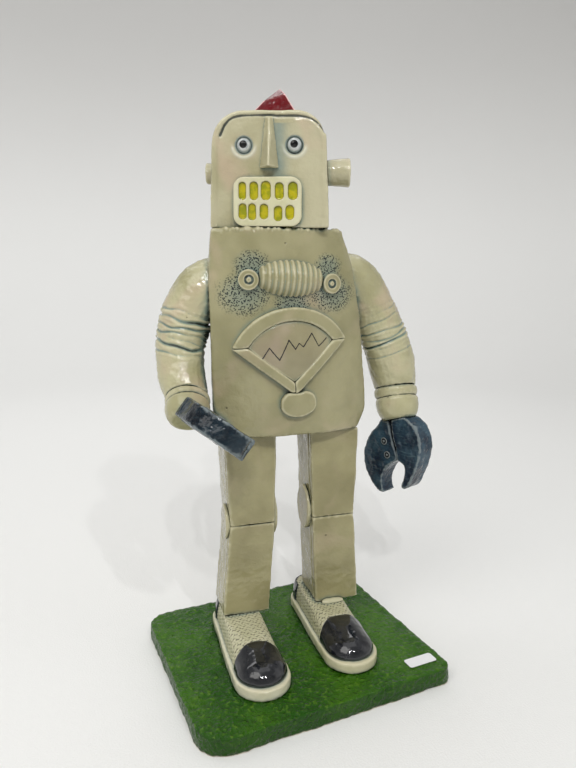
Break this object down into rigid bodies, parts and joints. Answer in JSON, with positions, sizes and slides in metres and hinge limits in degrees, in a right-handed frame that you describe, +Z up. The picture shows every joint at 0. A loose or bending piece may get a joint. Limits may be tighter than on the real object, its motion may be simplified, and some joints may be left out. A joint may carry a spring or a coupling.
{
  "type": "robot figure",
  "caption": "Slab-built glazed ceramic robot figure with claw hands, chest grille and dial, tooth panel, stub ears and canvas-look shoes, standing on a square slab base.",
  "frame": {"origin": "centre of the base slab's underside", "axes": "+Z up from the underside to the hat, -Y towards the base's front edge, +X towards the figure's left hand"},
  "size_m": [0.1777, 0.132, 0.349],
  "materials": {
    "green_glaze": "glossy transparent green glaze over a pimpled clay slab",
    "label_paper": "matt white paper sticker",
    "sole_glaze": "glossy cream glaze",
    "upper_glaze": "satin cream glaze over a stamped weave, brown in the hollows",
    "black_glaze": "glossy near-black glaze",
    "slate_glaze": "glossy dark blue-grey glaze with blue-green pools",
    "eye_glaze": "glossy grey-white glaze with black pupils",
    "teeth_glaze": "glossy cream glaze with yellow in the pockets",
    "red_glaze": "glossy crimson glaze, pale where it runs thin on edges",
    "head_glaze": "glossy cream glaze, blue-green in the creases",
    "torso_glaze": "glossy cream glaze, blue-green in the creases",
    "arm_glaze": "glossy cream glaze, blue-green in the creases",
    "leg_glaze": "glossy cream glaze, olive where thick"
  },
  "bodies": {
    "root": {"base_slab": "green_glaze", "base_label": "label_paper", "right_sole": "sole_glaze", "right_upper": "upper_glaze", "right_toe_cap": "black_glaze", "right_heel_counter": "black_glaze", "left_sole": "sole_glaze", "left_upper": "upper_glaze", "left_toe_cap": "black_glaze", "left_heel_counter": "black_glaze", "left_tongue": "leg_glaze", "right_shin_front": "leg_glaze", "right_shin_back": "leg_glaze", "right_thigh_front": "leg_glaze", "right_thigh_back": "leg_glaze", "left_shin_front": "leg_glaze", "left_shin_back": "leg_glaze", "left_thigh_front": "leg_glaze", "left_thigh_back": "leg_glaze", "right_outer_knee_plate": "leg_glaze", "right_inner_knee_plate": "leg_glaze", "left_outer_knee_plate": "leg_glaze", "left_inner_knee_plate": "leg_glaze", "torso_front": "torso_glaze", "torso_back": "torso_glaze", "torso_right_side": "torso_glaze", "torso_left_side": "torso_glaze", "torso_top": "torso_glaze", "torso_bottom": "torso_glaze", "grille_barrel": "torso_glaze", "grille_right_boss": "torso_glaze", "grille_left_boss": "torso_glaze", "dial_pad": "torso_glaze", "dial_arch": "torso_glaze", "dial_right_bar": "torso_glaze", "dial_left_bar": "torso_glaze", "dial_knob": "torso_glaze", "right_arm": "arm_glaze", "right_cuff_band": "arm_glaze", "right_wrist_cap": "arm_glaze", "right_claw_plain_jaw": "slate_glaze", "right_claw_riveted_jaw": "slate_glaze", "left_arm": "arm_glaze", "left_cuff_band": "arm_glaze", "left_wrist_cap": "arm_glaze", "left_claw_plain_jaw": "slate_glaze", "left_claw_riveted_jaw": "slate_glaze", "claw_rivets": "slate_glaze", "head_face": "head_glaze", "head_back": "head_glaze", "head_right_side": "head_glaze", "head_left_side": "head_glaze", "head_top": "head_glaze", "nose": "head_glaze", "right_eye": "eye_glaze", "left_eye": "eye_glaze", "teeth_panel": "teeth_glaze", "right_ear": "head_glaze", "left_ear": "head_glaze", "hat": "red_glaze"}
  },
  "joints": []
}
